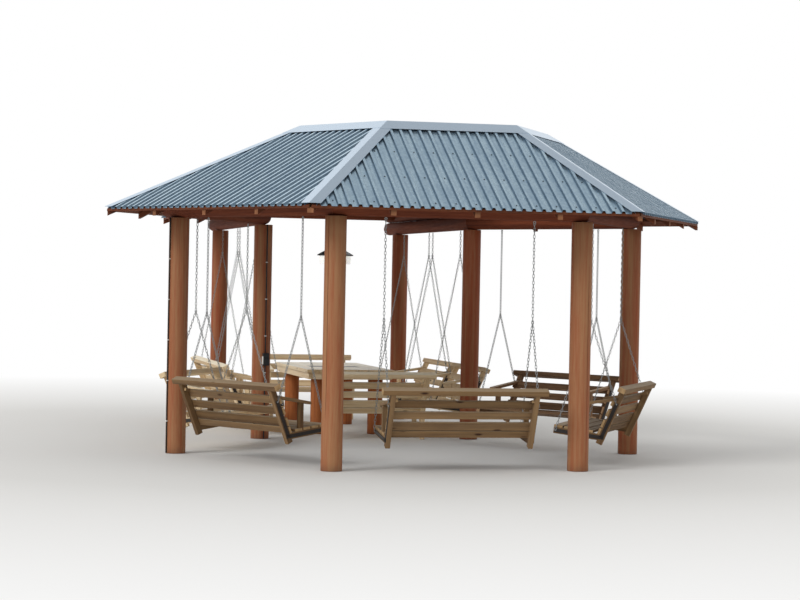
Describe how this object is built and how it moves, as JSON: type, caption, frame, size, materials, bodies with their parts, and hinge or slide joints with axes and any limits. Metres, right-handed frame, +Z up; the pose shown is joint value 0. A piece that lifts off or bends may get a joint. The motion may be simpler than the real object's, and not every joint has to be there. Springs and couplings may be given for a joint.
{
  "type": "garden gazebo",
  "caption": "Open garden gazebo of round logs: a six-sided hall with chain-hung swing benches and an open-topped ribbed steel roof, and a gabled bay behind with a table and more benches.",
  "frame": {"origin": "on the ground under the middle of the whole plan; the hall centre lies 1.722 m in front of it", "axes": "+Z up, -Y out through the front side, +Y towards the bay, +X to the right seen from the front"},
  "size_m": [6.18, 8.7962, 3.279],
  "materials": {
    "post_log": "stained round timber",
    "beam_log": "dark stained round timber",
    "roof_timber": "sawn softwood",
    "roof_sheet": "galvanised ribbed sheet",
    "flashing": "galvanised folded sheet",
    "furniture_board": "weathered board",
    "bench_board": "weathered board",
    "table_log": "round timber",
    "hanger_steel": "galvanised chain and black strap",
    "lantern_paint": "black enamel",
    "lantern_glass": "opal",
    "cable_cover": "matt",
    "socket_plastic": "matt"
  },
  "bodies": {
    "gazebo": {"battens": "roof_timber", "bay_rafters": "roof_timber", "bench_standing_far": "furniture_board", "bench_standing_near": "furniture_board", "curb": "roof_timber", "hall_rafters": "roof_timber", "hip_and_ridge_caps": "flashing", "hip_rafters": "roof_timber", "lantern_cap": "lantern_paint", "lantern_glass": "lantern_glass", "log_back_left": "beam_log", "log_back_right": "beam_log", "log_bay_left": "beam_log", "log_bay_right": "beam_log", "log_front": "beam_log", "log_front_left": "beam_log", "log_front_right": "beam_log", "post_back_left": "post_log", "post_back_right": "post_log", "post_bay_left": "post_log", "post_bay_right": "post_log", "post_front_left": "post_log", "post_front_right": "post_log", "post_left": "post_log", "post_right": "post_log", "power_cables": "cable_cover", "sheet_back": "roof_sheet", "sheet_back_left": "roof_sheet", "sheet_back_right": "roof_sheet", "sheet_bay_left": "roof_sheet", "sheet_bay_right": "roof_sheet", "sheet_front": "roof_sheet", "sheet_front_left": "roof_sheet", "sheet_front_right": "roof_sheet", "socket_box": "socket_plastic", "table_legs": "table_log", "table_top": "furniture_board", "top_cap": "flashing", "upper_logs": "beam_log", "valley_flashings": "flashing"},
    "swing_front_left": {"bench_front_left": "bench_board", "hangers_front_left": "hanger_steel"},
    "swing_front": {"bench_front": "bench_board", "hangers_front": "hanger_steel"},
    "swing_front_right": {"bench_front_right": "bench_board", "hangers_front_right": "hanger_steel"},
    "swing_back_right": {"bench_back_right": "bench_board", "hangers_back_right": "hanger_steel"},
    "swing_back_left": {"bench_back_left": "bench_board", "hangers_back_left": "hanger_steel"},
    "swing_bay_left_near": {"bench_bay_left_near": "bench_board", "hangers_bay_left_near": "hanger_steel"},
    "swing_bay_left_far": {"bench_bay_left_far": "bench_board", "hangers_bay_left_far": "hanger_steel"},
    "swing_bay_right_near": {"bench_bay_right_near": "bench_board", "hangers_bay_right_near": "hanger_steel"},
    "swing_bay_right_far": {"bench_bay_right_far": "bench_board", "hangers_bay_right_far": "hanger_steel"}
  },
  "joints": [
    {"name": "swing_front_left_pivot", "type": "hinge", "parent": "gazebo", "child": "swing_front_left", "pos_m": [-1.7625, -2.73965, 2.3207], "axis": [0.5, -0.866, 0], "range_deg": [-10, 10]},
    {"name": "swing_front_pivot", "type": "hinge", "parent": "gazebo", "child": "swing_front", "pos_m": [0, -3.75723, 2.3207], "axis": [1, 0, 0], "range_deg": [-10, 10]},
    {"name": "swing_front_right_pivot", "type": "hinge", "parent": "gazebo", "child": "swing_front_right", "pos_m": [1.7625, -2.73965, 2.3207], "axis": [0.5, 0.866, 0], "range_deg": [-10, 10]},
    {"name": "swing_back_right_pivot", "type": "hinge", "parent": "gazebo", "child": "swing_back_right", "pos_m": [1.7625, -0.70449, 2.3207], "axis": [-0.5, 0.866, 0], "range_deg": [-10, 10]},
    {"name": "swing_back_left_pivot", "type": "hinge", "parent": "gazebo", "child": "swing_back_left", "pos_m": [-1.7625, -0.70449, 2.3207], "axis": [-0.5, -0.866, 0], "range_deg": [-10, 10]},
    {"name": "swing_bay_left_near_pivot", "type": "hinge", "parent": "gazebo", "child": "swing_bay_left_near", "pos_m": [-1.16513, 1.45305, 2.3207], "axis": [-0.0087, -1, 0], "range_deg": [-10, 6]},
    {"name": "swing_bay_left_far_pivot", "type": "hinge", "parent": "gazebo", "child": "swing_bay_left_far", "pos_m": [-1.15245, 2.91799, 2.3207], "axis": [-0.0087, -1, 0], "range_deg": [-10, 6]},
    {"name": "swing_bay_right_near_pivot", "type": "hinge", "parent": "gazebo", "child": "swing_bay_right_near", "pos_m": [1.16513, 1.45305, 2.3207], "axis": [-0.0087, 1, 0], "range_deg": [-10, 6]},
    {"name": "swing_bay_right_far_pivot", "type": "hinge", "parent": "gazebo", "child": "swing_bay_right_far", "pos_m": [1.15245, 2.91799, 2.3207], "axis": [-0.0087, 1, 0], "range_deg": [-10, 6]}
  ]
}
